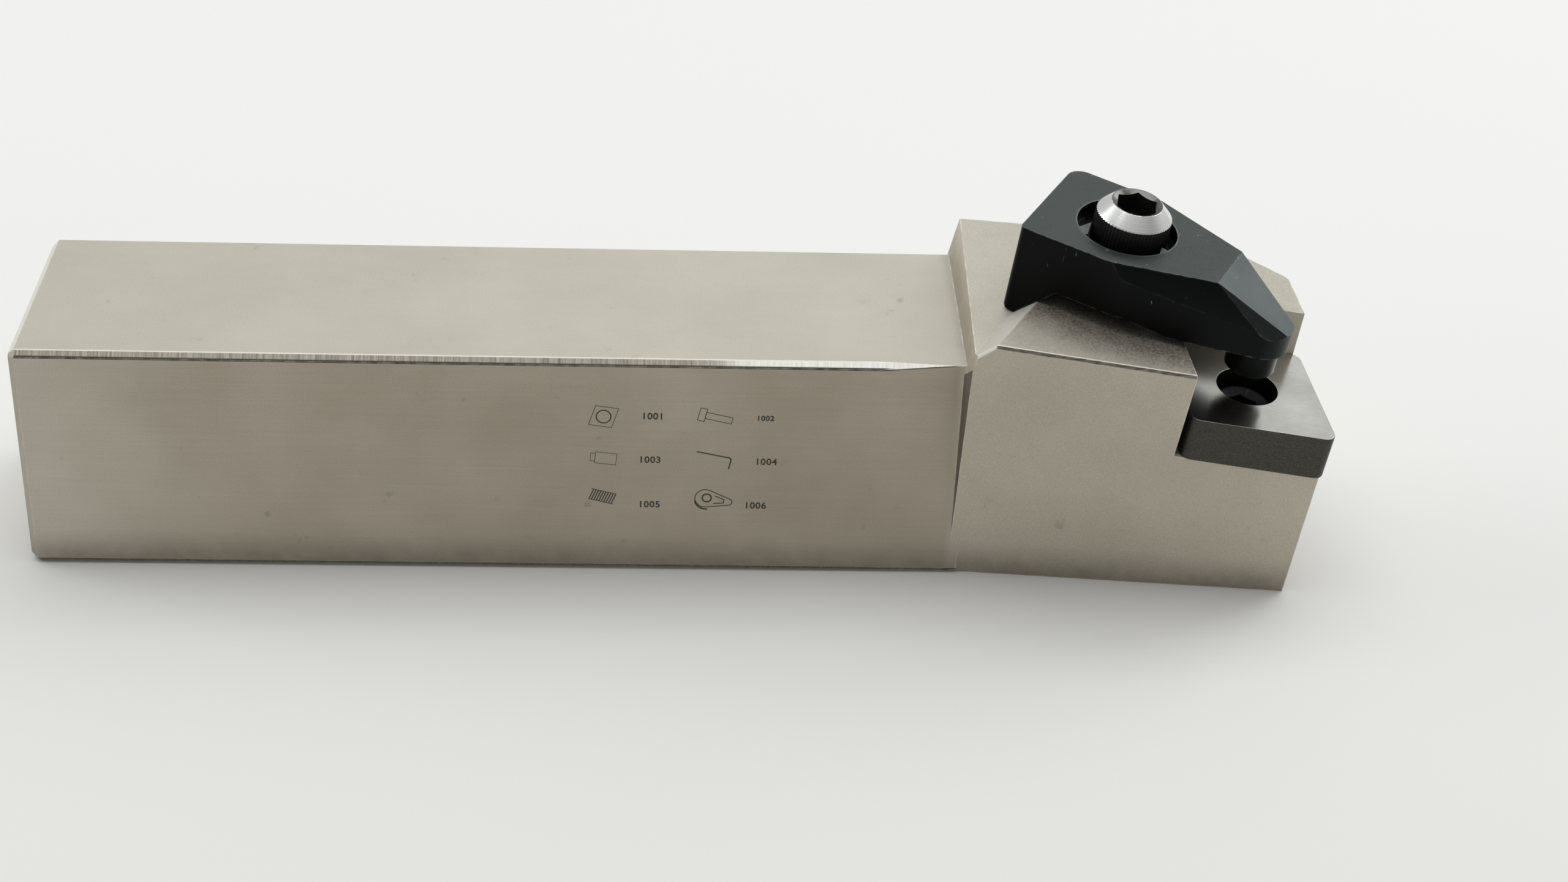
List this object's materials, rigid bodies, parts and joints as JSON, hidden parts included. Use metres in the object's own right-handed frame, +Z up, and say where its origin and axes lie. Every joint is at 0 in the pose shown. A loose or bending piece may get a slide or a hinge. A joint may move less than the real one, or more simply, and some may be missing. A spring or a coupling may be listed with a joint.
{
  "type": "turning tool holder",
  "caption": "Square shank steel turning tool holder, left hand, with an open rhombic insert pocket, shim, top clamp with pin, clamp screw and spring.",
  "frame": {"origin": "middle of the shank's width at the rear end, in the plane of the base face", "axes": "+X along the shank from its rear end to the head, +Y across the shank away from the cutting side, +Z up from the base"},
  "size_m": [0.1697, 0.039, 0.0512],
  "materials": {
    "body_steel": "satin nickel-toned steel",
    "carbide": "ground grey carbide",
    "screw_steel": "blackened steel, turned cone bright",
    "clamp_steel": "blackened steel",
    "spring_steel": "drawn wire"
  },
  "bodies": {
    "holder": {"holder_body": "body_steel", "shim": "carbide", "shim_screw": "screw_steel", "spring": "spring_steel"},
    "clamp": {"clamp": "clamp_steel"},
    "clamp_screw": {"clamp_screw": "screw_steel"}
  },
  "joints": [
    {"name": "clamp_lift", "type": "slide", "parent": "holder", "child": "clamp", "axis": [0.104, -0.104, 0.9891], "range_m": [0, 0.0038], "deforming": ["spring"]},
    {"name": "clamp_screw_turn", "type": "hinge", "parent": "clamp", "child": "clamp_screw", "pos_m": [0.14235, -0.00427, 0.03698], "axis": [0.104, -0.104, 0.9891], "range_deg": [0, 1368]}
  ],
  "couplings": [
    {"joint": "clamp_screw_turn", "follows": "clamp_lift", "rad_per_m": 6283.2}
  ]
}
